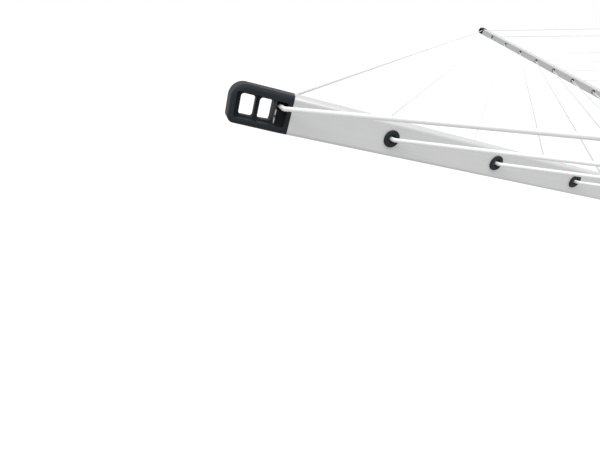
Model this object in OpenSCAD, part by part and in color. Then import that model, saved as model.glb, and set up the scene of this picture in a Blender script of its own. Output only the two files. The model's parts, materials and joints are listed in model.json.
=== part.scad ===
// Rotary clothesline: four folding arms on a mast that turns in a ground socket.
// Origin: mast axis at ground level. +Z up. Arm 1 points along -X, arm 2 along +Y.

/* [Mast and socket] */
// Outer diameter of the mast tube
mast_d = 50; // [46:1:54]
// Wall of the mast tube
mast_wall = 2; // [1.5:0.1:3]
// Height of the crown's strut pivots above the ground
crown_z = 1850; // [1750:10:1950]
// Depth of the mast's foot below the ground
mast_depth = 280; // [240:10:320]
// Outer diameter of the socket tube
socket_d = 60; // [60:0.5:64]
// Depth of the socket tube below the ground
socket_depth = 400; // [360:10:440]

/* [Arms] */
// Width of an arm tube, across the arm
arm_w = 23; // [22:0.5:26]
// Height of an arm tube
arm_h = 23; // [20:0.5:24]
// Wall of an arm tube
arm_wall = 1.2; // [1:0.1:1.6]
// Corner radius of an arm tube
arm_corner = 2.5; // [1.2:0.1:3]
// Slope of the open arms
arm_tilt = 17; // [12:1:22]
// Distance of every hinge from the mast axis
pivot_r = 50; // [48:1:54]

/* [Lines] */
// Distance along the arm from its hinge to the outermost line
outer_line = 1448; // [1440:1:1460]
// Gap from the outermost line to the first line in the tube
first_gap = 78; // [70:1:90]
// Gap between two lines in the tube
line_gap = 100; // [90:1:105]
// Number of lines that pass through the tube
tube_lines = 11; // [8:1:12]
// Diameter of the line
line_d = 2.8; // [2:0.1:3]
// Height of the lines in the tube above its middle
line_raise = 0.6; // [0:0.1:1]
// Height of the outermost line above the tube's middle
outer_raise = 3.8; // [3.2:0.1:4]

/* [End caps] */
// Length of an end cap beyond its line hole
cap_reach = 30.5; // [29.5:0.5:34]
// Slant of the seam between cap and tube, across the arm
cap_mitre = 14.5; // [8:0.5:18]
// Width of a cap at its tip
tip_w = 17; // [15:0.5:20]
// Radius of the cap's upper corner
cap_upper_r = 9.5; // [7:0.5:11]
// Radius of the cap's lower corner
cap_lower_r = 3.5; // [3:0.5:6]
// Thickness of the wall that holds the windows
web_t = 6; // [5:0.5:8]
// Width of a window
window_w = 9; // [7:0.1:9.2]
// Height of a window
window_h = 12.4; // [10:0.1:12.6]

/* [Struts] */
// Distance along the arm from its hinge to the strut pivot
strut_at = 520; // [500:5:540]
// Height of the strut pivot above the arm's centre
strut_rise = 24; // [22:0.5:28]
// Width of a strut tube
strut_w = 12; // [11:0.5:14]
// Depth of a strut tube
strut_h = 16; // [14:0.5:17]

/* [Hidden] */
$fn = 48;
ARMS = [1, 2, 3, 4];
function arm_names(piece) = [for (i = ARMS) str("arm_", i, "_", piece)];
function strut_names(piece) = [for (i = ARMS) str("strut_", i, "_", piece)];

GREY = [0.74, 0.75, 0.76];
BLACK = [0.13, 0.14, 0.15];
WHITE = [0.93, 0.93, 0.92];
STEEL = [0.62, 0.63, 0.64];

mast_r = mast_d / 2;
// clearance of a part that slides on or turns in another
run = 0.06;
// gap between bodies that don't bear on each other
gap = 0.3;
eps = 0.01;

// the linkage: hinge, strut pivot and crown pivot make an isosceles triangle
link = sqrt(pow(strut_at, 2) + pow(strut_rise, 2));
link_rise = atan2(strut_rise, strut_at);
strut_tilt = arm_tilt + link_rise;
runner_z = crown_z - 2 * link * sin(strut_tilt);

// pins and their bores
pin_r = 3;
bore_r = pin_r + run;
fixed_r = pin_r + 0.02;
notch_r = pin_r + gap;

// arm 1 points along -X, and the others follow clockwise, seen from above
function arm_turn(i) = 270 - 90 * i;

module on_arm(i) {
    rotate([0, 0, arm_turn(i)]) translate([pivot_r, 0, runner_z]) rotate([0, -arm_tilt, 0]) children();
}

module on_strut(i) {
    rotate([0, 0, arm_turn(i)]) translate([pivot_r, 0, crown_z]) rotate([0, strut_tilt, 0]) children();
}

// a rectangle with round corners, centred
module rounded(w, h, r) {
    square([w - 2 * r, h], center = true);
    square([w, h - 2 * r], center = true);
    for (x = [-1, 1], y = [-1, 1]) translate([x * (w / 2 - r), y * (h / 2 - r)]) circle(r);
}

// a bar along +X with a rounded section
module bar(from, to, w, h, r) {
    translate([from, 0, 0]) rotate([90, 0, 90]) linear_extrude(to - from) rounded(w, h, r);
}

// a plate across the arm: its outline lies in the arm's X-Z plane
module plate(t) {
    rotate([90, 0, 0]) linear_extrude(t, center = true) children();
}

// a cylinder across the arm, centred on a point of its X-Z plane
module cross_pin(x, z, r, length) {
    translate([x, 0, z]) rotate([90, 0, 0]) cylinder(r = r, h = length, center = true);
}

module ring(r_out, r_in, z, h) {
    translate([0, 0, z]) difference() {
        cylinder(r = r_out, h = h);
        translate([0, 0, -eps]) cylinder(r = r_in, h = h + 2 * eps);
    }
}

// ---- ground socket ----

socket_r = socket_d / 2;
socket_wall = 2;
collar_r = 62;
collar_t = 5;
collar_top = 14;
bush_deep = 40;
drain_r = 4;
seat_t = 12;
foot_t = 5;

module ground_socket() color(STEEL) {
    ring(socket_r, socket_r - socket_wall, -socket_depth, socket_depth);
}

// closes the lower end of the socket tube, with a drain hole
module socket_end() color(BLACK) translate([0, 0, -socket_depth]) difference() {
    union() {
        translate([0, 0, -4]) cylinder(r = socket_r, h = 4);
        cylinder(r = socket_r - socket_wall - 0.1, h = 25);
    }
    translate([0, 0, -5]) cylinder(r = drain_r, h = 31);
}

module socket_seat() color(BLACK) {
    ring(socket_r - socket_wall - 0.1, drain_r, -mast_depth - foot_t - gap - seat_t, seat_t);
}

// it stands clear of the socket tube's end
module ground_collar() color(BLACK) difference() {
    union() {
        cylinder(r = collar_r, h = collar_t);
        translate([0, 0, collar_t]) cylinder(r1 = socket_r + 10, r2 = socket_r + 5, h = collar_top - collar_t);
    }
    translate([0, 0, -eps]) cylinder(r = socket_r - socket_wall, h = collar_top + 1);
    translate([0, 0, -eps]) cylinder(r = socket_r + 1, h = 1);
    for (a = [0:90:270]) rotate([0, 0, a + 45])
        translate([collar_r - 9, 0, -eps]) cylinder(r = 3.5, h = collar_t + 1);
}

module collar_bush() color(BLACK) {
    ring(socket_r - socket_wall - 0.05, mast_r + run, -bush_deep, bush_deep + collar_top);
    ring(socket_r + 2, mast_r + run, collar_top, 3);
}

// ---- mast and crown ----

crown_low = -14;
crown_high = 12;
hub_r = 34;
crown_gap = strut_w + 2 * gap;
crown_lug = 6;
crown_roof = 4;
mast_top = crown_high - crown_roof;
lug_r = 9;
dome_r = 68;
dome_low = 58;

module mast_tube() color(GREY) {
    ring(mast_r, mast_r - mast_wall, -mast_depth, mast_depth + crown_z + mast_top);
}

module mast_foot() color(BLACK) {
    translate([0, 0, -mast_depth - foot_t]) {
        cylinder(r = mast_r, h = foot_t);
        cylinder(r = mast_r - mast_wall - 0.1, h = foot_t + 30);
    }
}

// one pair of lugs that holds an eye between its inner faces
module lug_pair(inner, thick, reach) {
    for (side = [-1, 1]) translate([0, side * (inner + thick) / 2, 0]) plate(thick) children();
}

// The struts' pins lie in slots that are open upwards, so that they can lift out.
module crown() color(BLACK) difference() {
    union() {
        translate([0, 0, crown_z + crown_low]) cylinder(r = hub_r, h = crown_high - crown_low);
        for (i = ARMS) rotate([0, 0, arm_turn(i)]) translate([0, 0, crown_z])
            lug_pair(crown_gap, crown_lug) {
                translate([mast_r + 2, -lug_r]) square([pivot_r - mast_r - 2, 2 * lug_r]);
                translate([pivot_r, 0]) circle(lug_r);
            }
    }
    translate([0, 0, crown_z + crown_low - eps]) cylinder(r = mast_r + 0.05, h = mast_top - crown_low + eps);
    for (i = ARMS) rotate([0, 0, arm_turn(i)]) {
        cross_pin(pivot_r, crown_z, notch_r, 40);
        translate([pivot_r, 0, crown_z + lug_r]) cube([2 * notch_r, 40, 2 * lug_r], center = true);
        translate([hub_r + 3, 0, crown_z + 3]) plate(crown_gap) square([lug_r, 40], center = true);
    }
    for (a = [45:90:315]) rotate([0, 0, a])
        translate([0, 0, crown_z - 5]) rotate([0, 90, 0]) cylinder(r = 2.1, h = hub_r + 1);
}

module crown_cap() color(BLACK) translate([0, 0, crown_z + crown_high]) difference() {
    rotate_extrude() {
        square([hub_r + 1.5, 3]);
        translate([0, 3]) intersection() {
            translate([0, -dome_low]) circle(dome_r);
            square([hub_r + 1, 12]);
        }
    }
    translate([0, 0, -eps]) cylinder(r = hub_r - 4, h = 2);
}

module crown_screws() color(STEEL) for (a = [45:90:315]) rotate([0, 0, a])
    translate([0, 0, crown_z - 5]) rotate([0, 90, 0]) {
        translate([0, 0, mast_r]) cylinder(r = 2, h = hub_r - mast_r);
        translate([0, 0, hub_r]) cylinder(r = 4, h = 2);
    }

// ---- runner and clamp lever ----

runner_low = -46;
runner_high = 22;
runner_r = 33;
bush_r = 28.5;
bush_h = 14;
arm_eye_w = 12;
arm_gap = arm_eye_w + 2 * gap;
arm_lug = 6;
lever_turn = 225;
lever_r = 41;
lever_z = -12;
lever_w = 16;
lever_eye = 8;

module runner() color(BLACK) translate([0, 0, runner_z]) difference() {
    union() {
        translate([0, 0, runner_low]) cylinder(r = runner_r, h = runner_high - runner_low);
        translate([0, 0, runner_low]) cylinder(r = runner_r + 4, h = 5);
        for (i = ARMS) rotate([0, 0, arm_turn(i)]) lug_pair(arm_gap, arm_lug) {
            translate([mast_r + 5, -lug_r]) square([pivot_r - mast_r - 5, 2 * lug_r]);
            translate([pivot_r, 0]) circle(lug_r);
        }
        rotate([0, 0, lever_turn]) lug_pair(lever_w + 2 * gap, 4) translate([0, lever_z]) {
            translate([mast_r + 5, -lever_eye]) square([lever_r - mast_r - 5, 2 * lever_eye]);
            translate([lever_r, 0]) circle(lever_eye);
        }
    }
    translate([0, 0, runner_low - eps]) cylinder(r = bush_r, h = runner_high - runner_low + 2 * eps);
    for (i = ARMS) rotate([0, 0, arm_turn(i)]) cross_pin(pivot_r, 0, bore_r, 40);
    rotate([0, 0, lever_turn]) {
        cross_pin(lever_r, lever_z, pin_r, 40);
        translate([mast_r + 4, 0, lever_z - 5]) cube([30, lever_w + 2 * gap, 26], center = true);
    }
}

module runner_bushes() color(WHITE) translate([0, 0, runner_z]) {
    for (z = [runner_low, runner_high - bush_h]) ring(bush_r, mast_r + run, z, bush_h);
}

module lever_pin() color(STEEL) translate([0, 0, runner_z]) rotate([0, 0, lever_turn]) {
    cross_pin(lever_r, lever_z, pin_r, lever_w + 2 * gap + 8);
}

module clamp_lever() color(BLACK) translate([0, 0, runner_z]) rotate([0, 0, lever_turn]) {
    nose = lever_r - mast_r - 2 * gap;
    handle_l = 80;
    difference() {
        translate([lever_r, 0, lever_z]) plate(lever_w) {
            circle(7);
            intersection() {
                circle(nose);
                translate([-nose, -4]) square([nose, 8]);
            }
            translate([0, -handle_l]) square([7, handle_l]);
            translate([3.5, -handle_l]) circle(6);
        }
        cross_pin(lever_r, lever_z, bore_r, 40);
    }
}

// ---- arms ----

// the seam between cap and tube starts this far inward of the cap's line hole
cap_lap = 5.3;
tube_from = 22;
tube_to = outer_line - cap_lap;
plug_from = 14;
plug_l = 40;
plug_slack = 0.15;
cap_plug_l = 20;
grommet_r = 5.75;
barrel_r = 4;
grommet_hole = 2.2;
flange_t = 1.4;
bend_out = arm_w / 2 + flange_t + 2;
// where the outermost line bends inside the cap's rear pocket
rear_bend = 9;
rivet_r = 2;
bracket_l = 40;
cheek_t = 2;
bracket_lug = 4;
bracket_rivets = [strut_at - 13, strut_at + 13];
plug_rivet = 45;

in_w = arm_w - 2 * arm_wall;
in_h = arm_h - 2 * arm_wall;
in_corner = max(arm_corner - arm_wall, 0.3);

line_r = line_d / 2;

// a low rib parts the line's end of each pocket from the windows
rib_x = 2.6;
rib_t = 1;
rib_y = 7;
line_floor = 5;
pocket_low = -7.6;
pocket_high = 6.7;
pocket_to = 3.2;
front_pocket = -2.4;
rear_pocket = -5;
window_gap = 2.4;
window_z = -0.5;
window_at = [for (k = [0, 1]) rib_x + rib_t + window_w / 2 + k * (window_w + window_gap)];
// the rear end of the slanted seam
seam_x = -cap_lap - arm_w * tan(cap_mitre);
// distance of every line along the arm, outermost first
tube_line_at = [for (k = [0:tube_lines - 1]) outer_line - first_gap - k * line_gap];

module arm_tube() color(GREY) difference() {
    bar(tube_from, tube_to, arm_w, arm_h, arm_corner);
    bar(tube_from - 1, tube_to + 1, in_w, in_h, in_corner);
    translate([tube_to, arm_w / 2, 0]) rotate([0, 0, -cap_mitre])
        translate([0, -2 * arm_w, -arm_h]) cube([arm_w, 3 * arm_w, 2 * arm_h]);
    for (x = tube_line_at) cross_pin(x, line_raise, barrel_r + 0.1, arm_w + 2);
    for (x = bracket_rivets) cross_pin(x, 0, rivet_r + 0.1, arm_w + 2);
    cross_pin(plug_rivet, 0, rivet_r + 0.1, arm_w + 2);
}

// side view of an end cap, from the seam to the tip
module cap_side() {
    low = -arm_h / 2;
    high = arm_h / 2;
    upper_x = cap_reach - cap_upper_r;
    lower_x = cap_reach - cap_lower_r;
    translate([seam_x, low]) square([upper_x - seam_x, arm_h]);
    translate([upper_x, low + cap_lower_r]) square([cap_upper_r, arm_h - cap_lower_r - cap_upper_r]);
    translate([upper_x, low]) square([lower_x - upper_x, arm_h - cap_upper_r]);
    translate([lower_x, low + cap_lower_r]) circle(cap_lower_r);
    translate([upper_x, high - cap_upper_r]) circle(cap_upper_r);
}

// plan of a cap from the slanted seam, moved by shift, to its narrower tip
module cap_plan(shift) {
    polygon([
        [shift - cap_lap, arm_w / 2], [shift + seam_x, -arm_w / 2], [0, -arm_w / 2],
        [cap_reach, -tip_w / 2], [cap_reach, tip_w / 2], [0, arm_w / 2]
    ]);
}

// the part of a cap that is pushed into the tube
module cap_plug() {
    difference() {
        bar(seam_x - cap_plug_l, 0, in_w - plug_slack, in_h - plug_slack, in_corner);
        linear_extrude(2 * arm_h, center = true) cap_plan(1);
    }
}

// a pocket in the face on one side, down to depth_y from the cap's middle
module face_pocket(side, from, to, depth_y) {
    translate([(from + to) / 2, side * (depth_y + arm_w / 2), (pocket_low + pocket_high) / 2])
        plate(arm_w) rounded(to - from, pocket_high - pocket_low, 1.2);
}

module end_cap() color(BLACK) translate([outer_line, 0, 0]) difference() {
    union() {
        intersection() {
            plate(arm_w) cap_side();
            linear_extrude(2 * arm_h, center = true) cap_plan(0);
            bar(seam_x - 1, cap_reach + 1, arm_w, arm_h, arm_corner);
        }
        cap_plug();
    }
    for (side = [-1, 1]) {
        from = side > 0 ? front_pocket : rear_pocket;
        face_pocket(side, from, cap_reach - pocket_to, rib_y);
        face_pocket(side, from, rib_x, line_floor);
        face_pocket(side, rib_x + rib_t, cap_reach - pocket_to, web_t / 2);
    }
    for (x = window_at) translate([x, 0, window_z]) plate(arm_w) rounded(window_w, window_h, 2);
    cross_pin(0, outer_raise, grommet_hole, arm_w + 1);
}

module hinge_plug() color(BLACK) difference() {
    union() {
        bar(plug_from, tube_from, arm_w, arm_h, arm_corner);
        bar(tube_from - 1, tube_from + plug_l, in_w - plug_slack, in_h - plug_slack, in_corner);
        plate(arm_eye_w) {
            circle(lug_r);
            translate([0, -lug_r]) square([plug_from + 1, 2 * lug_r]);
        }
    }
    cross_pin(0, 0, fixed_r, arm_w);
    cross_pin(plug_rivet, 0, rivet_r + 0.1, arm_w);
}

module grommet() rotate_extrude() {
    translate([grommet_hole, 0]) square([grommet_r - grommet_hole - 0.5, flange_t]);
    translate([grommet_hole, 0]) square([grommet_r - grommet_hole, flange_t - 0.5]);
    translate([grommet_r - 0.5, flange_t - 0.5]) intersection() {
        circle(0.5);
        square(0.5);
    }
    translate([grommet_hole, -arm_wall - 1]) square([barrel_r - grommet_hole, arm_wall + 1.1]);
}

module grommets() color(BLACK) for (x = tube_line_at, side = [-1, 1])
    translate([x, side * arm_w / 2, line_raise]) rotate([-90 * side, 0, 0]) grommet();

module strut_bracket() color(BLACK) difference() {
    union() {
        translate([strut_at, 0, arm_h / 2 + 1.5]) cube([bracket_l, arm_w + 2 * cheek_t, 3], center = true);
        for (side = [-1, 1]) translate([strut_at, side * (arm_w + cheek_t) / 2, arm_h / 4 - 2])
            cube([bracket_l, cheek_t, arm_h / 2 + 5], center = true);
        translate([strut_at, 0, 0]) lug_pair(crown_gap, bracket_lug) {
            translate([-8, arm_h / 2 + 2]) square([16, strut_rise - arm_h / 2 - 2]);
            translate([0, strut_rise]) circle(8);
        }
    }
    cross_pin(strut_at, strut_rise, bore_r, arm_w);
    for (x = bracket_rivets) cross_pin(x, 0, rivet_r + 0.1, arm_w + 10);
}

// a rivet across the arm, with a head at each end
module cross_rivet(x, width) {
    cross_pin(x, 0, rivet_r, width);
    for (side = [-1, 1]) translate([0, side * (width + 1) / 2, 0]) cross_pin(x, 0, rivet_r * 1.9, 1);
}

module rivets() color(STEEL) {
    for (x = bracket_rivets) cross_rivet(x, arm_w + 2 * cheek_t);
    cross_rivet(plug_rivet, arm_w);
}

// a pin across the arm, with a flat head at each end
module headed_pin(x, z, width) {
    cross_pin(x, z, pin_r, width);
    for (side = [-1, 1]) translate([0, side * (width + 1.2) / 2, 0]) cross_pin(x, z, pin_r + 1.5, 1.2);
}

module arm_pin() color(STEEL) headed_pin(0, 0, arm_gap + 2 * arm_lug + 2 * gap);

// ---- lines ----

// One taut line where it crosses an arm: straight through the arm, then level
// and straight on to halfway to each neighbour. It bends at front and at rear,
// measured from the arm's middle.
module arm_line(i, along, raise, front, rear) {
    x = pivot_r + along * cos(arm_tilt) - raise * sin(arm_tilt);
    z = runner_z + along * sin(arm_tilt) + raise * cos(arm_tilt);
    rotate([0, 0, arm_turn(i)]) translate([x, 0, z]) {
        translate([0, front, 0]) rotate([90, 0, 0]) cylinder(r = line_r, h = front + rear);
        for (side = [-1, 1]) {
            own = side > 0 ? front : rear;
            other = side > 0 ? rear : front;
            slant = atan2(x - own, x - other);
            half = (x - own) / (cos(slant) + sin(slant)) - gap / 2;
            translate([0, side * own, 0]) {
                sphere(line_r);
                rotate([0, 0, side * (180 - slant)]) rotate([0, 90, 0]) cylinder(r = line_r, h = half);
            }
        }
    }
}

module lines(i) color(WHITE) {
    arm_line(i, outer_line, outer_raise, bend_out, rear_bend);
    for (s = tube_line_at) arm_line(i, s, line_raise, bend_out, bend_out);
}

// ---- struts ----

strut_wall = 1.2;
strut_corner = 3;
strut_from = 20;
strut_to = link - 20;
strut_eye_r = 7.5;

module strut_tube() color(GREY) difference() {
    bar(strut_from, strut_to, strut_w, strut_h, strut_corner);
    bar(strut_from - 1, strut_to + 1, strut_w - 2 * strut_wall, strut_h - 2 * strut_wall, strut_corner - strut_wall);
}

// one strut end, with its eye at the origin and its plug towards +X
module strut_end() difference() {
    union() {
        plate(strut_w) {
            circle(strut_eye_r);
            translate([0, -strut_eye_r]) square([strut_from, 2 * strut_eye_r]);
        }
        bar(14, strut_from, strut_w, strut_h, strut_corner);
        bar(14, strut_from + 25, strut_w - 2 * strut_wall - plug_slack,
            strut_h - 2 * strut_wall - plug_slack, strut_corner - strut_wall);
    }
    cross_pin(0, 0, fixed_r, 20);
}

module strut_ends() color(BLACK) {
    strut_end();
    translate([link, 0, 0]) rotate([0, 0, 180]) strut_end();
}

// the pins turn with the strut, in the crown's slots and in the bracket
module strut_pins() color(STEEL) {
    headed_pin(0, 0, crown_gap + 2 * crown_lug + 2 * gap);
    headed_pin(link, 0, crown_gap + 2 * bracket_lug + 2 * gap);
}

// ---- the assembly ----

ground_socket();
socket_end();
socket_seat();
ground_collar();
collar_bush();
mast_tube();
mast_foot();
crown();
crown_cap();
crown_screws();
runner();
runner_bushes();
lever_pin();
clamp_lever();
for (i = ARMS) {
    on_arm(i) arm_tube();
    on_arm(i) end_cap();
    on_arm(i) hinge_plug();
    on_arm(i) grommets();
    on_arm(i) strut_bracket();
    on_arm(i) rivets();
    on_arm(i) arm_pin();
    lines(i);
    on_strut(i) strut_tube();
    on_strut(i) strut_ends();
    on_strut(i) strut_pins();
}
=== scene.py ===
"""The looks of a rotary clothesline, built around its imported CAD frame.

Lengths in the shape functions are millimetres, in the frame of the piece: x along an
arm or outward from the mast, y across it, z up. The *_frame functions give the matrix
that takes such a piece into the row frame.
"""

import json
import math

import bmesh
import bpy
import numpy as np
from mathutils import Matrix, Vector


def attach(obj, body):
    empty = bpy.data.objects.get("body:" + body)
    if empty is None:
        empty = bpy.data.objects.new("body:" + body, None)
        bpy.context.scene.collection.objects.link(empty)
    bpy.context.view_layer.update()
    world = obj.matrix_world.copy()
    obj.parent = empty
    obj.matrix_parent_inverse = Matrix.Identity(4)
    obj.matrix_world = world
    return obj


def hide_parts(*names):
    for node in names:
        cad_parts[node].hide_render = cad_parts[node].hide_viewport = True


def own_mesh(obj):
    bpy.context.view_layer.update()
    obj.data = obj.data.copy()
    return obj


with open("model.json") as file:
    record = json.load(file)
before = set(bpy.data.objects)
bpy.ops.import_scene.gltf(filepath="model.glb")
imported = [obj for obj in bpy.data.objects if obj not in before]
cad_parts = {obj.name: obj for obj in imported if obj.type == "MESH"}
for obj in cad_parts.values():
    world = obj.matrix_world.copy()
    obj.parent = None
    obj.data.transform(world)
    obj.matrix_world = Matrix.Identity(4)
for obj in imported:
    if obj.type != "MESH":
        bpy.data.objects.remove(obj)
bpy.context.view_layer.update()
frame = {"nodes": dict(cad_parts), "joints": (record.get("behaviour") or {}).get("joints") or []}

MM = 0.001
ARMS = (1, 2, 3, 4)
UP = Vector((0, 0, 1))
joints = {joint["name"]: joint for joint in frame["joints"]}

# sizes shared with the CAD frame, in millimetres
ARM_TILT, FOLD = math.radians(17), math.radians(70)
ARM_W, ARM_H, ARM_CORNER, ARM_WALL = 23, 23, 2.5, 1.2
OUTER_LINE, FIRST_GAP, LINE_GAP, TUBE_LINES = 1448, 78, 100, 11
TUBE_LINE_AT = [OUTER_LINE - FIRST_GAP - k * LINE_GAP for k in range(TUBE_LINES)]
LINE_R, LINE_RAISE, OUTER_RAISE = 1.4, 0.6, 3.8
FLANGE_T = 1.4
BEND_OUT, REAR_BEND = ARM_W / 2 + FLANGE_T + 2, 9
PIVOT_R, MAST_R = 50, 25
STRUT_W, STRUT_H = 12, 16
RUNNER_Z = joints["arm_1_swing"]["pos_m"][2] / MM
CROWN_Z = 2 * joints["strut_1_swing"]["pos_m"][2] / MM - RUNNER_Z

# how much nearer the tip the visual outer line leaves its cap, for the photo's sake
OUTER_SHIFT = 0.9


# ---- frames of the pieces ----

def hinge_of(arm):
    return Vector(joints[f"arm_{arm}_swing"]["pos_m"])


def outward(arm):
    """The level direction in which an arm points."""
    hinge = hinge_of(arm)
    return Vector((hinge.x, hinge.y, 0)).normalized()


def frame_at(place, along, up):
    """A frame with x along, z up, in millimetres, at a place in the row frame."""
    turn = Matrix((along, up.cross(along), up)).transposed().to_4x4()
    return Matrix.Translation(place) @ turn @ Matrix.Scale(MM, 4)


def arm_frame(arm):
    out = outward(arm)
    along = out * math.cos(ARM_TILT) + UP * math.sin(ARM_TILT)
    up = UP * math.cos(ARM_TILT) - out * math.sin(ARM_TILT)
    return frame_at(hinge_of(arm), along, up)


def cap_frame(arm):
    return arm_frame(arm) @ Matrix.Translation((OUTER_LINE, 0, 0))


def strut_frame(arm):
    """At the crown's pivot, with x along the strut towards the arm."""
    top = outward(arm) * PIVOT_R * MM + UP * CROWN_Z * MM
    along = (Vector(joints[f"strut_{arm}_swing"]["pos_m"]) - top).normalized()
    across = UP.cross(outward(arm))
    return frame_at(top, along, along.cross(across))


def mast_frame(height):
    """On the mast's axis at a height, with x and y along the arms."""
    return frame_at(UP * height * MM, Vector((1, 0, 0)), UP)


# ---- making meshes ----

SHARP_ANGLE = math.radians(50)
PROBE = 0.02


def add_piece(name, mesh, place, body, material, replaced=()):
    piece = bpy.data.objects.new(name, mesh)
    bpy.context.scene.collection.objects.link(piece)
    piece.matrix_world = place
    if not mesh.materials:
        mesh.materials.append(material)
    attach(piece, body)
    for node in replaced:
        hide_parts(node)
    return piece


def mesh_of(name, points, faces):
    mesh = bpy.data.meshes.new(name)
    mesh.from_pydata([tuple(p) for p in points], [], [tuple(int(v) for v in f) for f in faces])
    mesh.validate()
    outside = bmesh.new()
    outside.from_mesh(mesh)
    bmesh.ops.recalc_face_normals(outside, faces=outside.faces)
    outside.to_mesh(mesh)
    outside.free()
    mesh.shade_smooth()
    mesh.set_sharp_from_angle(angle=SHARP_ANGLE)
    return mesh


def meet(a, b, r=0.0):
    """The overlap of two fields, its outer edge rounded to radius r."""
    outside = np.hypot(np.maximum(a + r, 0), np.maximum(b + r, 0))
    return np.minimum(np.maximum(a, b) + r, 0) + outside - r


def cut(a, b, r=0.0):
    """Field a without field b, the new edge rounded."""
    return meet(a, -b, r)


def join(a, b, r=0.0):
    """Both fields together, with a fillet of radius r between them."""
    return -meet(-a, -b, r)


def slab(x, low, high):
    """Between two parallel planes."""
    return np.abs(x - (low + high) / 2) - (high - low) / 2


def rectangle(x, y, half_x, half_y, r):
    dx, dy = np.abs(x) - half_x + r, np.abs(y) - half_y + r
    return np.minimum(np.maximum(dx, dy), 0) + np.hypot(np.maximum(dx, 0), np.maximum(dy, 0)) - r


def disc(x, y, r):
    return np.hypot(x, y) - r


def stadium(x, y, start, end, r):
    """A strip with round ends, along x from start to end."""
    return np.hypot(x - np.clip(x, start, end), y) - r


def project(points, field, reach):
    """Moves points onto the surface of a field, along its gradient."""
    for _ in range(3):
        value = field(*points.T)
        slope = np.stack([
            (field(*(points + shift).T) - field(*(points - shift).T)) / (2 * PROBE)
            for shift in np.eye(3) * PROBE
        ], axis=1)
        size = np.maximum((slope ** 2).sum(1), 0.2)
        move = -slope * (value / size)[:, None]
        length = np.linalg.norm(move, axis=1, keepdims=True)
        points = points + move * np.minimum(1, reach / np.maximum(length, 1e-9))
    return points


def moulding(name, field, low, high, cell, keep=0.4):
    """A closed mesh of the surface where a field is zero, from quads about one cell long."""
    axes = [np.arange(a - 1.5 * cell, b + 2.5 * cell, cell) for a, b in zip(low, high)]
    value = field(*np.meshgrid(*axes, indexing="ij"))
    inside = value < 0
    shape = np.array(value.shape)
    origin = np.array([a[0] for a in axes])
    total = np.zeros((shape.prod(), 3))
    count = np.zeros(shape.prod())
    quads = []
    for axis in range(3):
        one, side, other = np.roll(np.eye(3, dtype=int), -axis, axis=0)
        first = tuple(slice(0, n - o) for n, o in zip(shape, one))
        second = tuple(slice(o, n) for n, o in zip(shape, one))
        at = np.argwhere(inside[first] != inside[second])
        a, b = value[tuple(at.T)], value[tuple((at + one).T)]
        crossing = origin + cell * (at + one * (a / (a - b))[:, None])
        ring = []
        for offset in (side * 0, side, side + other, other):
            index = np.ravel_multi_index((at - offset).T, shape)
            np.add.at(total, index, crossing)
            np.add.at(count, index, 1)
            ring.append(index)
        ring = np.stack(ring, axis=1)
        ring[a >= 0] = ring[a >= 0][:, ::-1]
        quads.append(ring)
    quads = np.concatenate(quads)
    used = np.flatnonzero(count)
    number = np.full(len(count), -1)
    number[used] = np.arange(len(used))
    points = project(total[used] / count[used][:, None], field, cell / 2)
    mesh = mesh_of(name, points, number[quads])
    return thinned(mesh, keep)


def thinned(mesh, keep):
    """The same mesh with a share of its faces, most of them taken from flat stretches."""
    helper = bpy.data.objects.new("helper", mesh)
    bpy.context.scene.collection.objects.link(helper)
    thin = helper.modifiers.new("thin", "DECIMATE")
    thin.ratio = keep
    graph = bpy.context.evaluated_depsgraph_get()
    made = bpy.data.meshes.new_from_object(helper.evaluated_get(graph))
    made.name = mesh.name
    bpy.data.objects.remove(helper)
    bpy.data.meshes.remove(mesh)
    made.shade_smooth()
    return made


def lathe(profile, sides=40):
    """Points and faces of a closed (radius, height) profile turned about z."""
    points, faces = [], []
    for k in range(sides):
        angle = 2 * math.pi * k / sides
        points += [(r * math.cos(angle), r * math.sin(angle), h) for r, h in profile]
    n = len(profile)
    for k in range(sides):
        for i in range(n):
            a, b = k * n, (k + 1) % sides * n
            faces.append((a + i, b + i, b + (i + 1) % n, a + (i + 1) % n))
    return np.array(points), faces


def tube(path, radius, sides=12):
    """Points and faces of a round tube along a path, with closed ends."""
    path = np.array([tuple(p) for p in path])
    forward = np.gradient(path, axis=0)
    forward /= np.linalg.norm(forward, axis=1)[:, None]
    side = np.cross(forward, (0, 0, 1))
    side /= np.linalg.norm(side, axis=1)[:, None]
    up = np.cross(side, forward)
    turn = np.arange(sides) * 2 * math.pi / sides
    points = path[:, None] + radius * (
        side[:, None] * np.cos(turn)[None, :, None] + up[:, None] * np.sin(turn)[None, :, None])
    faces = [tuple(range(sides - 1, -1, -1))]
    for k in range(len(path) - 1):
        for i in range(sides):
            j = (i + 1) % sides
            faces.append((k * sides + i, k * sides + j, (k + 1) * sides + j, (k + 1) * sides + i))
    faces.append(tuple((len(path) - 1) * sides + i for i in range(sides)))
    return points.reshape(-1, 3), faces


# ---- materials ----

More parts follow.
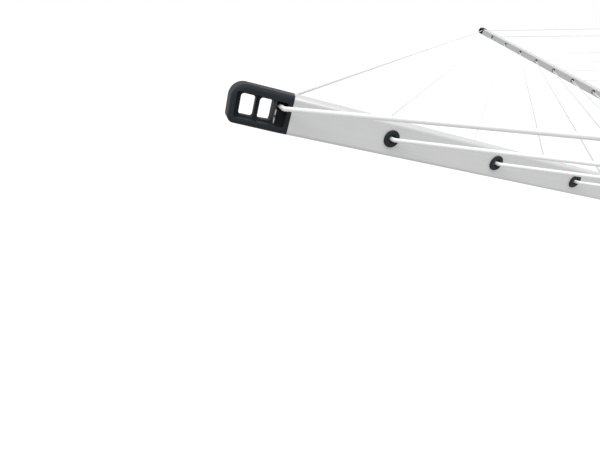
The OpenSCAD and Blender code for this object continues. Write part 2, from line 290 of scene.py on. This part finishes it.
class Nodes:
    """A material under construction."""

    def __init__(self, name):
        self.material = bpy.data.materials.new(name)
        self.material.use_nodes = True
        self.tree = self.material.node_tree
        self.shader = self.tree.nodes["Principled BSDF"]

    def add(self, kind, settings=(), **inputs):
        node = self.tree.nodes.new(kind)
        for key, value in settings:
            setattr(node, key, value)
        for key, value in inputs.items():
            self.feed(node, key.replace("_", " "), value)
        return node

    def feed(self, node, key, value):
        socket = node.inputs[key]
        if hasattr(value, "is_linked"):
            self.tree.links.new(value, socket)
        else:
            socket.default_value = value

    def position(self):
        """Object coordinates."""
        return self.add("ShaderNodeTexCoord").outputs["Object"]

    def scaled(self, vector, scale):
        return self.add("ShaderNodeMapping", Vector=vector, Scale=scale).outputs["Vector"]

    def local(self, place):
        """Metres in the frame that a matrix places in the row frame."""
        node = self.add("ShaderNodeMapping", [("vector_type", "TEXTURE")], Vector=self.position(),
                        Location=place.translation, Rotation=place.to_euler())
        return node.outputs["Vector"]

    def math(self, operation, first, second=0.0):
        node = self.add("ShaderNodeMath", [("operation", operation)])
        for socket, value in zip(node.inputs, (first, second)):
            if hasattr(value, "is_linked"):
                self.tree.links.new(value, socket)
            else:
                socket.default_value = value
        return node.outputs[0]

    def near(self, value, middle, half, soft):
        """1 within half of the middle, falling to 0 over soft."""
        away = self.math("ABSOLUTE", self.math("SUBTRACT", value, middle))
        return self.between(away, half, half + soft, 1, 0)

    def noise(self, vector, scale, detail=3.0, roughness=0.55):
        node = self.add("ShaderNodeTexNoise", Vector=vector, Scale=scale, Detail=detail,
                        Roughness=roughness)
        return node.outputs["Fac"]

    def between(self, value, low, high, to_low, to_high):
        node = self.add("ShaderNodeMapRange", Value=value)
        ends = {"From Min": low, "From Max": high, "To Min": to_low, "To Max": to_high}
        for key, number in ends.items():
            node.inputs[key].default_value = number
        return node.outputs["Result"]

    def blend(self, share, first, second):
        node = self.add("ShaderNodeMix", [("data_type", "RGBA")])
        self.tree.links.new(share, node.inputs["Factor"])
        for socket, colour in ((node.inputs[6], first), (node.inputs[7], second)):
            if hasattr(colour, "is_linked"):
                self.tree.links.new(colour, socket)
            else:
                socket.default_value = (*colour, 1)
        return node.outputs[2]

    def bump(self, height, strength, distance):
        node = self.add("ShaderNodeBump", Strength=strength, Distance=distance, Height=height)
        self.feed(self.shader, "Normal", node.outputs["Normal"])

    def finish(self, **values):
        for key, value in values.items():
            self.feed(self.shader, key.replace("_", " "), value)
        return self.material


def black_plastic(name, unit=1.0, painted_rib_highlight=False):
    """Satin moulded plastic: a fine grain, faint flow marks, sharp edges lighter partly as wear and
    partly as a painted highlight, and on request a painted highlight along an end cap's rib.

    The unit is that of the piece's own coordinates, in metres.
    """
    m = Nodes(name)
    place = m.position()
    fine = m.noise(place, 2600 * unit, 2)
    flow = m.noise(place, 45 * unit, 4)
    # sharp convex edges a little lighter: partly wear, partly a painted highlight
    edge = m.between(m.add("ShaderNodeNewGeometry").outputs["Pointiness"], 0.53, 0.62, 0.0, 0.3)
    body = m.blend(m.between(flow, 0.3, 0.7, 0, 1), (0.0098, 0.0116, 0.0128), (0.0128, 0.0152, 0.0168))
    colour = m.blend(edge, body, (0.028, 0.031, 0.033))
    # painted highlight: light dashes along the front edge of an end cap's rib
    if painted_rib_highlight:
        colour = m.blend(rib_gleam(m, place), colour, (0.3, 0.31, 0.32))
    m.bump(fine, 0.22, 0.00006)
    return m.finish(Base_Color=colour, Roughness=m.between(flow, 0.3, 0.7, 0.5, 0.62),
                    Specular_IOR_Level=0.1, Specular_Tint=(0.5, 0.51, 0.52, 1))


def rib_gleam(m, place):
    """A painted highlight in dashes along the front edge of an end cap's rib, in the cap's own
    millimetres.
    """
    parts = m.add("ShaderNodeSeparateXYZ", Vector=place).outputs
    along = m.near(parts["X"], RIB_X + RIB_T / 2, RIB_T / 2, 0.3)
    proud = m.between(parts["Y"], RIB_Y - 0.8, RIB_Y - 0.4, 0, 1)
    height = m.near(parts["Z"], GLEAM_Z, GLEAM_HALF, 0.8)
    dashes = m.between(m.noise(place, 0.55, 1), 0.42, 0.5, 0, 1)
    return m.math("MULTIPLY", m.math("MULTIPLY", along, proud), m.math("MULTIPLY", height, dashes))


def tube_metal(name, place, tone=0.36):
    """Satin anodised tube with drawing marks along it."""
    m = Nodes(name)
    local = m.local(place)
    marks = m.noise(m.scaled(local, (3, 900, 900)), 1.0, 4, 0.6)
    cloud = m.noise(local, 9, 3)
    colour = m.blend(m.between(cloud, 0.3, 0.7, 0, 1), (tone * 0.985, tone * 0.99, tone * 0.99),
                     (tone * 1.03, tone * 1.035, tone * 1.035))
    streak = m.between(marks, 0.35, 0.75, 0, 0.22)
    streaked = m.blend(streak, colour, (tone * 0.82, tone * 0.83, tone * 0.84))
    m.bump(marks, 0.12, 0.00008)
    return m.finish(Base_Color=streaked, Metallic=0.3, Roughness=m.between(marks, 0.3, 0.7, 0.38, 0.48))


def line_plastic():
    """White plastic cover, drawn over a fine twisted core that shows as faint waves."""
    m = Nodes("white_line")
    dirt = m.noise(m.position(), 14, 4)
    wave = m.noise(m.position(), 420, 2)
    colour = m.blend(m.between(dirt, 0.35, 0.75, 0, 1), (0.47, 0.47, 0.467), (0.43, 0.433, 0.43))
    m.bump(wave, 0.15, 0.0002)
    return m.finish(Base_Color=colour, Roughness=m.between(dirt, 0.3, 0.7, 0.3, 0.42),
                    Subsurface_Weight=0.1, Subsurface_Scale=0.001)


def bright_steel():
    """Zinc-plated pins and rivets with turning marks."""
    m = Nodes("bright_steel")
    marks = m.noise(m.position(), 700, 3)
    colour = m.blend(m.between(marks, 0.3, 0.7, 0, 1), (0.3, 0.31, 0.32), (0.42, 0.43, 0.44))
    m.bump(marks, 0.1, 0.00005)
    return m.finish(Base_Color=colour, Metallic=1.0, Roughness=m.between(marks, 0.3, 0.7, 0.25, 0.4))


def galvanised():
    """Hot-dipped zinc: crystals of slightly different grey."""
    m = Nodes("galvanised")
    crystal = m.add("ShaderNodeTexVoronoi", Vector=m.scaled(m.position(), (1, 1, 0.6)), Scale=110.0)
    tone = m.add("ShaderNodeSeparateColor", Color=crystal.outputs["Color"]).outputs["Red"]
    colour = m.blend(tone, (0.24, 0.255, 0.262), (0.35, 0.365, 0.375))
    m.bump(tone, 0.15, 0.0001)
    return m.finish(Base_Color=colour, Metallic=0.8, Roughness=m.between(tone, 0, 1, 0.38, 0.6))


def white_plastic():
    m = Nodes("white_plastic")
    flow = m.noise(m.position(), 40, 3)
    colour = m.blend(flow, (0.48, 0.48, 0.47), (0.54, 0.54, 0.53))
    m.bump(m.noise(m.position(), 1800, 2), 0.15, 0.00005)
    return m.finish(Base_Color=colour, Roughness=0.45)


def floor_paint():
    m = Nodes("floor")
    cloud = m.noise(m.position(), 0.7, 3)
    colour = m.blend(cloud, (0.472, 0.472, 0.472), (0.482, 0.482, 0.482))
    return m.finish(Base_Color=colour, Roughness=0.9, Specular_IOR_Level=0.1)


BLACK = black_plastic("black_plastic")
MOULDED = black_plastic("moulded_plastic", MM)
STEEL = bright_steel()
LINE = line_plastic()


# ---- camera, light and floor ----

CAMERA_PLACE = (-1.48263, -0.21051, 1.96791)
CAMERA_YAW, CAMERA_PITCH, CAMERA_ROLL = (math.radians(turn) for turn in (74.046, 30.459, -1.542))
CAMERA_LENS, CAMERA_FILM, CAMERA_FAR = 20.25, 36, 60
LIGHT_TOWARD, LIGHT_STRENGTH, LIGHT_WIDTH = (0, -0.47, 1), 4.9, math.radians(70)
FLOOR_HALF = 40


def add_camera():
    data = bpy.data.cameras.new("camera")
    camera = bpy.data.objects.new("camera", data)
    bpy.context.scene.collection.objects.link(camera)
    data.sensor_width = CAMERA_FILM
    data.lens = CAMERA_LENS
    data.clip_end = CAMERA_FAR
    yaw, pitch, roll = CAMERA_YAW, CAMERA_PITCH, CAMERA_ROLL
    level = Vector((math.sin(yaw), -math.cos(yaw), 0))
    ahead = UP.cross(level)
    forward = ahead * math.cos(pitch) - UP * math.sin(pitch)
    upward = level.cross(forward)
    right = level * math.cos(roll) + upward * math.sin(roll)
    up = upward * math.cos(roll) - level * math.sin(roll)
    turn = Matrix((right, up, -forward)).transposed().to_4x4()
    camera.matrix_world = Matrix.Translation(CAMERA_PLACE) @ turn
    bpy.context.scene.camera = camera


def add_light():
    """A very soft light from far away, like a large softbox high in front."""
    data = bpy.data.lights.new("softbox", "SUN")
    data.energy = LIGHT_STRENGTH
    data.angle = LIGHT_WIDTH
    light = bpy.data.objects.new("softbox", data)
    bpy.context.scene.collection.objects.link(light)
    light.rotation_euler = Vector(LIGHT_TOWARD).to_track_quat("Z", "Y").to_euler()


def add_stage():
    bpy.context.scene.view_settings.view_transform = "Standard"
    world = bpy.data.worlds.new("studio")
    bpy.context.scene.world = world
    world.use_nodes = True
    background = world.node_tree.nodes["Background"]
    background.inputs["Color"].default_value = (1, 1, 1, 1)
    background.inputs["Strength"].default_value = 1.0
    size = FLOOR_HALF
    corners = [(-size, -size, 0), (size, -size, 0), (size, size, 0), (-size, size, 0)]
    mesh = mesh_of("floor", corners, [(0, 1, 2, 3)])
    mesh.materials.append(floor_paint())
    floor = bpy.data.objects.new("floor", mesh)
    bpy.context.scene.collection.objects.link(floor)
    add_light()


# ---- finishes of the CAD parts ----

def tube_finish(name):
    """The metal of a CAD tube, laid along it."""
    kind, arm = (name.split("_") + [""])[:2]
    if kind == "arm":
        return tube_metal(f"{name}_metal", arm_frame(int(arm)))
    if kind == "strut":
        return tube_metal(f"{name}_metal", strut_frame(int(arm)))
    along_mast = frame_at(Vector((0, 0, 0)), UP, Vector((1, 0, 0)))
    return tube_metal("mast_metal", along_mast)


def finish_cad():
    white, galvanised_steel = white_plastic(), galvanised()
    for name, node in frame["nodes"].items():
        if name == "ground_socket":
            material = galvanised_steel
        elif name.endswith("_tube"):
            material = tube_finish(name)
        elif name == "runner_bushes":
            material = white
        elif name.endswith(("_pin", "_pins", "_rivets", "_screws")):
            material = STEEL
        elif name.endswith("_lines"):
            material = LINE
        else:
            material = BLACK
        node.data.materials.clear()
        node.data.materials.append(material)


# ---- end caps ----

CAP_LAP, CAP_MITRE = 5.3, math.radians(14.5)
CAP_SEAM = -CAP_LAP - ARM_W * math.tan(CAP_MITRE)
CAP_REACH, CAP_UPPER_R, CAP_LOWER_R, TIP_W, CAP_PLUG_L = 30.5, 9.5, 3.5, 17, 20
RIB_X, RIB_T, RIB_Y, LINE_FLOOR = 2.6, 1.0, 7, 5
# height and half-height of the painted highlight on the rib's edge
GLEAM_Z, GLEAM_HALF = -2.6, 3.6
WEB_T, WINDOW_W, WINDOW_H, WINDOW_GAP, WINDOW_Z = 6, 9, 12.4, 2.4, -0.5
WINDOW_AT = [RIB_X + RIB_T + WINDOW_W / 2 + k * (WINDOW_W + WINDOW_GAP) for k in (0, 1)]
WINDOW_R, WINDOW_EDGE = 2, 0.7
POCKET_LOW, POCKET_HIGH, POCKET_END, POCKET_R = -7.6, 6.7, CAP_REACH - 3.2, 1.2
FRONT_POCKET, REAR_POCKET, POCKET_FLOOR_R = -2.4, -5, 0.45
CAP_HOLE_R, CAP_HOLE_EDGE = 1.7, 0.9
PLUG_SLACK = 0.1


def cap_side(x, z):
    """Side view: a bar with a large upper and a small lower corner at its tip."""
    r = np.where(z > 0, CAP_UPPER_R, CAP_LOWER_R)
    dx, dz = x - CAP_REACH + r, np.abs(z) - ARM_H / 2 + r
    return np.minimum(np.maximum(dx, dz), 0) + np.hypot(np.maximum(dx, 0), np.maximum(dz, 0)) - r


def face_pocket(x, y, z, side, start, end, depth_y):
    """A pocket in the face on one side, down to depth_y from the cap's middle."""
    middle_z, half_z = (POCKET_LOW + POCKET_HIGH) / 2, (POCKET_HIGH - POCKET_LOW) / 2
    outline = rectangle(x - (start + end) / 2, z - middle_z, (end - start) / 2, half_z, POCKET_R)
    return meet(outline, depth_y - side * y, POCKET_FLOOR_R)


def cap_field(x, y, z):
    wide = ARM_W / 2
    seam = (y - wide) * math.sin(CAP_MITRE) - (x + CAP_LAP) * math.cos(CAP_MITRE)
    taper = (ARM_W - TIP_W) / 2 / CAP_REACH
    sides = np.abs(y) - wide + np.maximum(x, 0) * taper
    body = meet(meet(sides, cap_side(x, z), ARM_CORNER), seam, 0.15)
    for side, start in ((1, FRONT_POCKET), (-1, REAR_POCKET)):
        body = cut(body, face_pocket(x, y, z, side, start, POCKET_END, RIB_Y), 0.35)
        body = cut(body, face_pocket(x, y, z, side, start, RIB_X, LINE_FLOOR), 0.3)
        body = cut(body, face_pocket(x, y, z, side, RIB_X + RIB_T, POCKET_END, WEB_T / 2), 0.3)
    for at in WINDOW_AT:
        window = rectangle(x - at, z - WINDOW_Z, WINDOW_W / 2, WINDOW_H / 2, WINDOW_R)
        body = cut(body, window, WINDOW_EDGE)
    body = cut(body, disc(x - OUTER_SHIFT, z - OUTER_RAISE, CAP_HOLE_R), CAP_HOLE_EDGE)
    inset = ARM_WALL + PLUG_SLACK
    plug = rectangle(y, z, wide - inset, ARM_H / 2 - inset, ARM_CORNER - ARM_WALL)
    plug = meet(meet(plug, CAP_SEAM - CAP_PLUG_L - x, 1.0), -seam - 0.5)
    return join(body, plug)


def add_end_caps():
    low = (CAP_SEAM - CAP_PLUG_L, -ARM_W / 2, -ARM_H / 2)
    high = (CAP_REACH, ARM_W / 2, ARM_H / 2)
    mesh = moulding("end_cap", cap_field, low, high, 0.45)
    # the end caps' plastic, with the painted highlight along the rib
    plastic = black_plastic("rib_highlight_plastic", MM, painted_rib_highlight=True)
    for arm in ARMS:
        add_piece(f"arm_{arm}_tip_cap", mesh, cap_frame(arm), f"arm_{arm}", plastic,
                  [f"arm_{arm}_end_cap"])


# ---- crown ----

CROWN_LOW, CROWN_HIGH, CROWN_R, MAST_TOP = -14, 12, 34, 8
EYE_GAP, LUG_T, LUG_R = 6.3, 6, 9
SLOT_R, SCREW_HOLE_R, SCREW_LOW = 3.3, 2.1, 5
CROWN_CAP_R, CROWN_CAP_H, CAP_FLANGE_T, DOME_R, DOME_LOW = 35.5, 14, 3, 68, 55
CAP_GROOVES, GROOVE_R = (12, 25), 1.1


def nearest_arm(x, y):
    """Outward and across for whichever arm is nearest, so that a shape repeats four times."""
    return np.maximum(np.abs(x), np.abs(y)), np.minimum(np.abs(x), np.abs(y))


def crown_field(x, y, z):
    out, across = nearest_arm(x, y)
    hub = meet(disc(x, y, CROWN_R), slab(z, CROWN_LOW, CROWN_HIGH), 1.5)
    lugs = meet(stadium(out, z, MAST_R + 2, PIVOT_R, LUG_R),
                slab(across, EYE_GAP, EYE_GAP + LUG_T), 1.3)
    web = meet(slab(across, EYE_GAP, EYE_GAP + LUG_T + 3),
               stadium(out, z + 7, MAST_R, CROWN_R + 6, 3), 1)
    body = join(join(hub, lugs, 3), web, 2)
    body = cut(body, rectangle(out - CROWN_R - 14, across, 15, EYE_GAP, 1), 0.5)
    slot = np.hypot(out - PIVOT_R, np.minimum(z, 0)) - SLOT_R
    body = cut(body, slot, 0.6)
    body = cut(body, meet(disc(x, y, MAST_R + 0.05), z - MAST_TOP), 0.4)
    screw = disc((np.abs(x) - np.abs(y)) / math.sqrt(2), z + SCREW_LOW, SCREW_HOLE_R)
    return cut(body, screw, 0.3)


def crown_cap_field(x, y, z):
    r = np.hypot(x, y)
    dome = np.hypot(r, z + DOME_LOW) - DOME_R
    flange = meet(r - CROWN_CAP_R, slab(z, 0, CAP_FLANGE_T), 1)
    body = join(meet(meet(dome, r - CROWN_CAP_R + 1, 1.5), -z), flange, 0.8)
    for ring_r in CAP_GROOVES:
        height = math.sqrt(DOME_R ** 2 - ring_r ** 2) - DOME_LOW
        body = cut(body, disc(r - ring_r, z - height - 0.3, GROOVE_R), 0.4)
    return cut(body, meet(r - CROWN_R + 4, z - 2), 0.2)


def add_crown():
    reach = PIVOT_R + LUG_R
    low, high = (-reach, -reach, CROWN_LOW), (reach, reach, CROWN_HIGH)
    mesh = moulding("crown", crown_field, low, high, 0.8, 0.3)
    add_piece("crown_hub", mesh, mast_frame(CROWN_Z), "mast", MOULDED, ["crown"])
    low, high = (-CROWN_CAP_R, -CROWN_CAP_R, 0), (CROWN_CAP_R, CROWN_CAP_R, CROWN_CAP_H)
    mesh = moulding("crown_cap", crown_cap_field, low, high, 0.8)
    place = mast_frame(CROWN_Z + CROWN_HIGH)
    add_piece("crown_top_cap", mesh, place, "mast", MOULDED, ["crown_cap"])


# ---- runner and clamp lever ----

RUNNER_LOW, RUNNER_HIGH, RUNNER_R, BUSH_R = -46, 22, 33, 28.5
PIN_BORE_R = 3.06
RUNNER_LIP_T, RUNNER_LIP_OUT, RUNNER_RIB_TOP = 5, 4, 14
LEVER_TURN, LEVER_R, LEVER_Z = math.radians(225), 41, -12
LEVER_W, LEVER_GAP, LEVER_EYE, LEVER_EAR_T = 16, 8.3, 8, 4
HANDLE_L, HANDLE_HALF, KNOB_R, LEVER_HUB_R = 80, 3.5, 6, 7
HOLLOW_HALF_W, HOLLOW_HALF_L, WAIST_IN, WAIST_L = 3.6, 26, 1.6, 22
RIDGES, RIDGE_X, RIDGE_GAP, RIDGE_R = 4, 10.2, 3, 1.4
LEVER_LOW, LEVER_HIGH = (-15.4, -8, -86), (9.5, 8, 7)


def along_lever(x, y):
    """Outward and across for the clamp lever."""
    c, s = math.cos(LEVER_TURN), math.sin(LEVER_TURN)
    return x * c + y * s, y * c - x * s


def runner_field(x, y, z):
    out, across = nearest_arm(x, y)
    r = np.hypot(x, y)
    sleeve = meet(r - RUNNER_R, slab(z, RUNNER_LOW, RUNNER_HIGH), 1.5)
    lip = meet(r - RUNNER_R - RUNNER_LIP_OUT, slab(z, RUNNER_LOW, RUNNER_LOW + RUNNER_LIP_T), 1.5)
    lugs = meet(stadium(out, z, BUSH_R + 2, PIVOT_R, LUG_R),
                slab(across, EYE_GAP, EYE_GAP + LUG_T), 1.3)
    jacket = meet(r - RUNNER_R - 2.5, slab(z, RUNNER_LOW + 8, RUNNER_RIB_TOP), 1)
    rib = meet(np.abs(out - across) / math.sqrt(2) - 1.5, jacket, 0.8)
    body = join(join(join(sleeve, lip, 2), lugs, 2.5), rib, 1)
    lever_out, lever_across = along_lever(x, y)
    ears = meet(stadium(lever_out, z - LEVER_Z, BUSH_R + 2, LEVER_R, LEVER_EYE),
                slab(np.abs(lever_across), LEVER_GAP, LEVER_GAP + LEVER_EAR_T), 1)
    body = join(body, ears, 1.5)
    body = cut(body, meet(slab(out, RUNNER_R, 90), across - EYE_GAP), 0.3)
    window = rectangle(lever_across, z - LEVER_Z + 5, LEVER_GAP, 13, 1)
    body = cut(body, meet(window, slab(lever_out, 14, 60)), 0.5)
    body = cut(body, disc(out - PIVOT_R, z, PIN_BORE_R), 0.4)
    return cut(body, r - BUSH_R, 0.5)


def lever_field(x, y, z):
    """About the lever's pivot, with x outward and z up."""
    nose_r = LEVER_R - MAST_R - 0.6
    hub = disc(x, z, LEVER_HUB_R)
    nose = meet(disc(x, z, nose_r), meet(slab(x, -nose_r, 0), slab(z, -4, 4)), 0.8)
    handle = rectangle(x - HANDLE_HALF, z + HANDLE_L / 2, HANDLE_HALF, HANDLE_L / 2, 2)
    knob = disc(x - HANDLE_HALF, z + HANDLE_L, KNOB_R)
    outline = join(join(join(hub, nose, 2), handle, 6), knob, 8)
    hollow = rectangle(x - 8, z + HANDLE_L / 2 + 2, HOLLOW_HALF_W, HOLLOW_HALF_L, 1.5)
    waist = LEVER_W / 2 - WAIST_IN * np.exp(-((z + HANDLE_L / 2) / WAIST_L) ** 2)
    body = meet(outline, np.abs(y) - waist, 1.6)
    body = cut(body, meet(hollow, np.abs(y) - waist + 3, 1), 0.6)
    for k in range(RIDGES):
        body = cut(body, disc(x - RIDGE_X, z + HANDLE_L - KNOB_R + RIDGE_GAP * k, RIDGE_R), 0.4)
    return cut(body, disc(x, z, PIN_BORE_R), 0.4)


def lever_frame():
    out = Vector((math.cos(LEVER_TURN), math.sin(LEVER_TURN), 0))
    return frame_at(out * LEVER_R * MM + UP * (RUNNER_Z + LEVER_Z) * MM, out, UP)


def add_runner():
    reach = PIVOT_R + LUG_R
    low, high = (-reach, -reach, RUNNER_LOW), (reach, reach, RUNNER_HIGH)
    mesh = moulding("runner", runner_field, low, high, 0.8, 0.3)
    add_piece("runner_sleeve", mesh, mast_frame(RUNNER_Z), "runner", MOULDED,
              ["runner"])
    mesh = moulding("lever", lever_field, LEVER_LOW, LEVER_HIGH, 0.6)
    add_piece("clamp_handle", mesh, lever_frame(), "clamp_lever", MOULDED,
              ["clamp_lever"])


# ---- ground collar ----

SOCKET_R, COLLAR_R, COLLAR_T, COLLAR_TOP = 30, 62, 5, 14
SCREW_CIRCLE, FLOOR_SCREW_R, COLLAR_RIB_OUT = 53, 3.5, 56


def collar_field(x, y, z):
    """A plate with a cone and four ribs; 0.87 and 0.46 make distances from the slopes true."""
    out, across = nearest_arm(x, y)
    r = np.hypot(x, y)
    plate = meet(r - COLLAR_R, slab(z, 0, COLLAR_T), 1.5)
    cone = (r - SOCKET_R - 10 + (z - COLLAR_T) * 5 / 9) * 0.87
    body = join(plate, meet(cone, slab(z, 0, COLLAR_TOP), 1), 3)
    rib = meet(across - 1.6, slab(z, COLLAR_T - 1, 40), 0.6)
    body = join(body, meet(rib, (out - COLLAR_RIB_OUT + (z - COLLAR_T) * 1.9) * 0.46, 0.8), 1)
    diagonal = SCREW_CIRCLE / math.sqrt(2)
    hole = disc(out - diagonal, across - diagonal, FLOOR_SCREW_R)
    body = cut(body, hole - np.maximum(z - 2.5, 0), 0.2)
    body = cut(body, meet(r - SOCKET_R - 1, z - 1))
    return meet(cut(body, r - SOCKET_R + 2, 0.4), -z)


def add_collar():
    low, high = (-COLLAR_R, -COLLAR_R, 0), (COLLAR_R, COLLAR_R, COLLAR_TOP)
    mesh = moulding("collar", collar_field, low, high, 0.9, 0.3)
    add_piece("socket_collar", mesh, mast_frame(0), "ground", MOULDED,
              ["ground_collar"])


# ---- mouldings on the arms and struts ----

ARM_EYE_HALF, PLUG_FROM, TUBE_FROM, PLUG_L = 6, 14, 22, 40
STRUT_AT, STRUT_RISE, BRACKET_L, CHEEK_T, SADDLE_T = 520, 24, 40, 2, 3
BRACKET_LUG, BRACKET_EYE_R, BRACKET_LOW, RIVET_AT = 4, 8, -4.5, 13
STRUT_FROM, STRUT_EYE_R, STRUT_WALL, STRUT_CORNER, STRUT_PLUG_L = 20, 7.5, 1.2, 3, 25
STRUT_BLOCK = 14
FIXED_R, RIVET_HOLE_R, PLUG_RIVET_AT = 3.02, 2.1, 45


def hinge_plug_field(x, y, z):
    block = meet(rectangle(y, z, ARM_W / 2, ARM_H / 2, ARM_CORNER), slab(x, PLUG_FROM, TUBE_FROM), 0.5)
    eye = meet(stadium(x, z, 0, PLUG_FROM + 1, LUG_R), np.abs(y) - ARM_EYE_HALF, 1)
    body = join(block, eye, 1.8)
    inset = ARM_WALL + PLUG_SLACK
    insert = rectangle(y, z, ARM_W / 2 - inset, ARM_H / 2 - inset, 0.4)
    body = join(body, meet(insert, slab(x, TUBE_FROM - 1, TUBE_FROM + PLUG_L), 0.8))
    body = cut(body, disc(x, z, FIXED_R), 0.4)
    return cut(body, disc(x - PLUG_RIVET_AT, z, RIVET_HOLE_R), 0.2)


def bracket_field(x, y, z):
    """About the middle of the arm under the strut's pivot."""
    outside = rectangle(y, z, ARM_W / 2 + CHEEK_T, ARM_H / 2 + SADDLE_T, 2)
    saddle = meet(meet(outside, BRACKET_LOW - z), slab(x, -BRACKET_L / 2, BRACKET_L / 2), 1)
    ear = stadium(z, x, ARM_H / 2, STRUT_RISE, BRACKET_EYE_R)
    lugs = meet(ear, slab(np.abs(y), EYE_GAP, EYE_GAP + BRACKET_LUG), 0.9)
    body = join(saddle, lugs, 2)
    body = cut(body, meet(np.abs(y) - EYE_GAP, STRUT_RISE - 8.5 - z), 0.2)
    body = cut(body, meet(np.abs(y) - ARM_W / 2 - 0.01, z - ARM_H / 2 - 0.01))
    for rivet in (-RIVET_AT, RIVET_AT):
        body = cut(body, disc(x - rivet, z, RIVET_HOLE_R), 0.2)
    return cut(body, disc(x, z - STRUT_RISE, PIN_BORE_R), 0.4)


def strut_end_field(x, y, z):
    eye = meet(stadium(x, z, 0, STRUT_FROM, STRUT_EYE_R), np.abs(y) - STRUT_W / 2, 1)
    eye = meet(eye, x - STRUT_FROM)
    outline = rectangle(y, z, STRUT_W / 2, STRUT_H / 2, STRUT_CORNER)
    block = meet(outline, slab(x, STRUT_BLOCK, STRUT_FROM), 0.4)
    inset = STRUT_WALL + PLUG_SLACK
    insert = rectangle(y, z, STRUT_W / 2 - inset, STRUT_H / 2 - inset, STRUT_CORNER - STRUT_WALL)
    insert = meet(insert, slab(x, STRUT_BLOCK, STRUT_FROM + STRUT_PLUG_L), 0.6)
    body = join(join(eye, block, 1), insert)
    return cut(body, disc(x, z, FIXED_R), 0.4)


def add_arm_mouldings():
    plug = moulding("hinge_plug", hinge_plug_field, (-LUG_R, -ARM_W / 2, -ARM_H / 2),
                    (TUBE_FROM + PLUG_L, ARM_W / 2, ARM_H / 2), 0.7, 0.3)
    bracket = moulding("bracket", bracket_field, (-BRACKET_L / 2, -ARM_W / 2 - CHEEK_T, -5),
                       (BRACKET_L / 2, ARM_W / 2 + CHEEK_T, STRUT_RISE + BRACKET_EYE_R), 0.6, 0.3)
    strut_end = moulding("strut_end", strut_end_field, (-STRUT_EYE_R, -STRUT_W / 2, -STRUT_H / 2),
                         (STRUT_FROM + STRUT_PLUG_L, STRUT_W / 2, STRUT_H / 2), 0.6)
    link = math.hypot(STRUT_AT, STRUT_RISE)
    for arm in ARMS:
        body, place = f"arm_{arm}", arm_frame(arm)
        add_piece(f"{body}_root_plug", plug, place, body, MOULDED,
                  [f"{body}_hinge_plug"])
        add_piece(f"{body}_saddle", bracket, place @ Matrix.Translation((STRUT_AT, 0, 0)), body,
                  MOULDED, [f"{body}_strut_bracket"])
        strut, place = f"strut_{arm}", strut_frame(arm)
        far = place @ Matrix.Translation((link, 0, 0)) @ Matrix.Rotation(math.pi, 4, "Z")
        for end, at in (("top", place), ("foot", far)):
            add_piece(f"{strut}_{end}_eye", strut_end, at, strut, MOULDED,
                      [f"{strut}_ends"])


# ---- grommets ----

EYELET_R, EYELET_HOLE_R, BARREL_R, BARREL_DEEP = 5.75, 2.2, 4.0, ARM_WALL + 1
LIP_R, THROAT_R = 0.6, 1.3


def grommet_profile():
    """A flared eyelet: a round lip that stands on the tube and a barrel through its wall."""
    lip = [(EYELET_R - LIP_R + LIP_R * math.sin(t), FLANGE_T - LIP_R + LIP_R * math.cos(t))
           for t in np.linspace(math.pi / 2, 0, 5)]
    throat = [(EYELET_HOLE_R + THROAT_R * (1 - math.sin(t)), FLANGE_T - THROAT_R * (1 - math.cos(t)))
              for t in np.linspace(0, math.pi / 2, 7)]
    ends = [(EYELET_HOLE_R, -BARREL_DEEP), (BARREL_R, -BARREL_DEEP)]
    return [(BARREL_R, 0), (EYELET_R, 0), *lip, *throat, *ends]


def add_grommets():
    points, faces = lathe(grommet_profile(), 32)
    all_points, all_faces = [], []
    for s in TUBE_LINE_AT:
        for side in (-1, 1):
            start = len(all_points)
            all_points += [(s + x, side * (ARM_W / 2 + z), LINE_RAISE - side * y)
                           for x, y, z in points]
            all_faces += [tuple(start + v for v in f) for f in faces]
    mesh = mesh_of("grommets", all_points, all_faces)
    for arm in ARMS:
        add_piece(f"arm_{arm}_eyelets", mesh, arm_frame(arm), f"arm_{arm}", MOULDED,
                  [f"arm_{arm}_grommets"])


# ---- lines ----

LINE_BEND_R, LINE_OVERLAP = 3.2, 0.05


def line_path(own, slant, half):
    """From the arm's middle out to the bend, round it, and on to halfway to the next arm."""
    turned = math.pi / 2 - slant
    tangent = LINE_BEND_R * math.tan(turned / 2)
    path = [(0, 0), (0, own - tangent - 2)]
    for t in np.linspace(0, turned, 7):
        path.append((-LINE_BEND_R * (1 - math.cos(t)), own - tangent + LINE_BEND_R * math.sin(t)))
    for share in (0.02, 0.5, 1):
        path.append((-half * share * math.cos(slant), own + half * share * math.sin(slant)))
    return path


def add_half_line(arm, ring, along, raise_, side, own, other):
    out = outward(arm)
    across = UP.cross(out) * side
    start = arm_frame(arm) @ Vector((along, 0, raise_))
    radius = math.hypot(start.x, start.y) / MM
    slant = math.atan2(radius - own, radius - other)
    half = (radius - own) / (math.cos(slant) + math.sin(slant)) + LINE_OVERLAP
    path = [start + (out * x + across * y) * MM for x, y in line_path(own, slant, half)]
    points, faces = tube([p / MM for p in path], LINE_R)
    mesh = mesh_of(f"line_{ring}", points * MM, faces)
    name = f"arm_{arm}_line_{ring}_{'front' if side > 0 else 'rear'}"
    piece = add_piece(name, mesh, Matrix(), f"arm_{arm}", LINE, [f"arm_{arm}_lines"])
    squash_line(piece)


def squash_line(piece):
    """Gives the line piece a mesh of its own."""
    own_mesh(piece)


def add_lines():
    rings = [(OUTER_LINE + OUTER_SHIFT, OUTER_RAISE, BEND_OUT, REAR_BEND)]
    rings += [(s, LINE_RAISE, BEND_OUT, BEND_OUT) for s in TUBE_LINE_AT]
    for arm in ARMS:
        for ring, (along, raise_, front, rear) in enumerate(rings):
            add_half_line(arm, ring, along, raise_, 1, front, rear)
            add_half_line(arm, ring, along, raise_, -1, rear, front)


add_camera()
add_stage()
finish_cad()
add_end_caps()
add_crown()
add_runner()
add_collar()
add_arm_mouldings()
add_grommets()
add_lines()
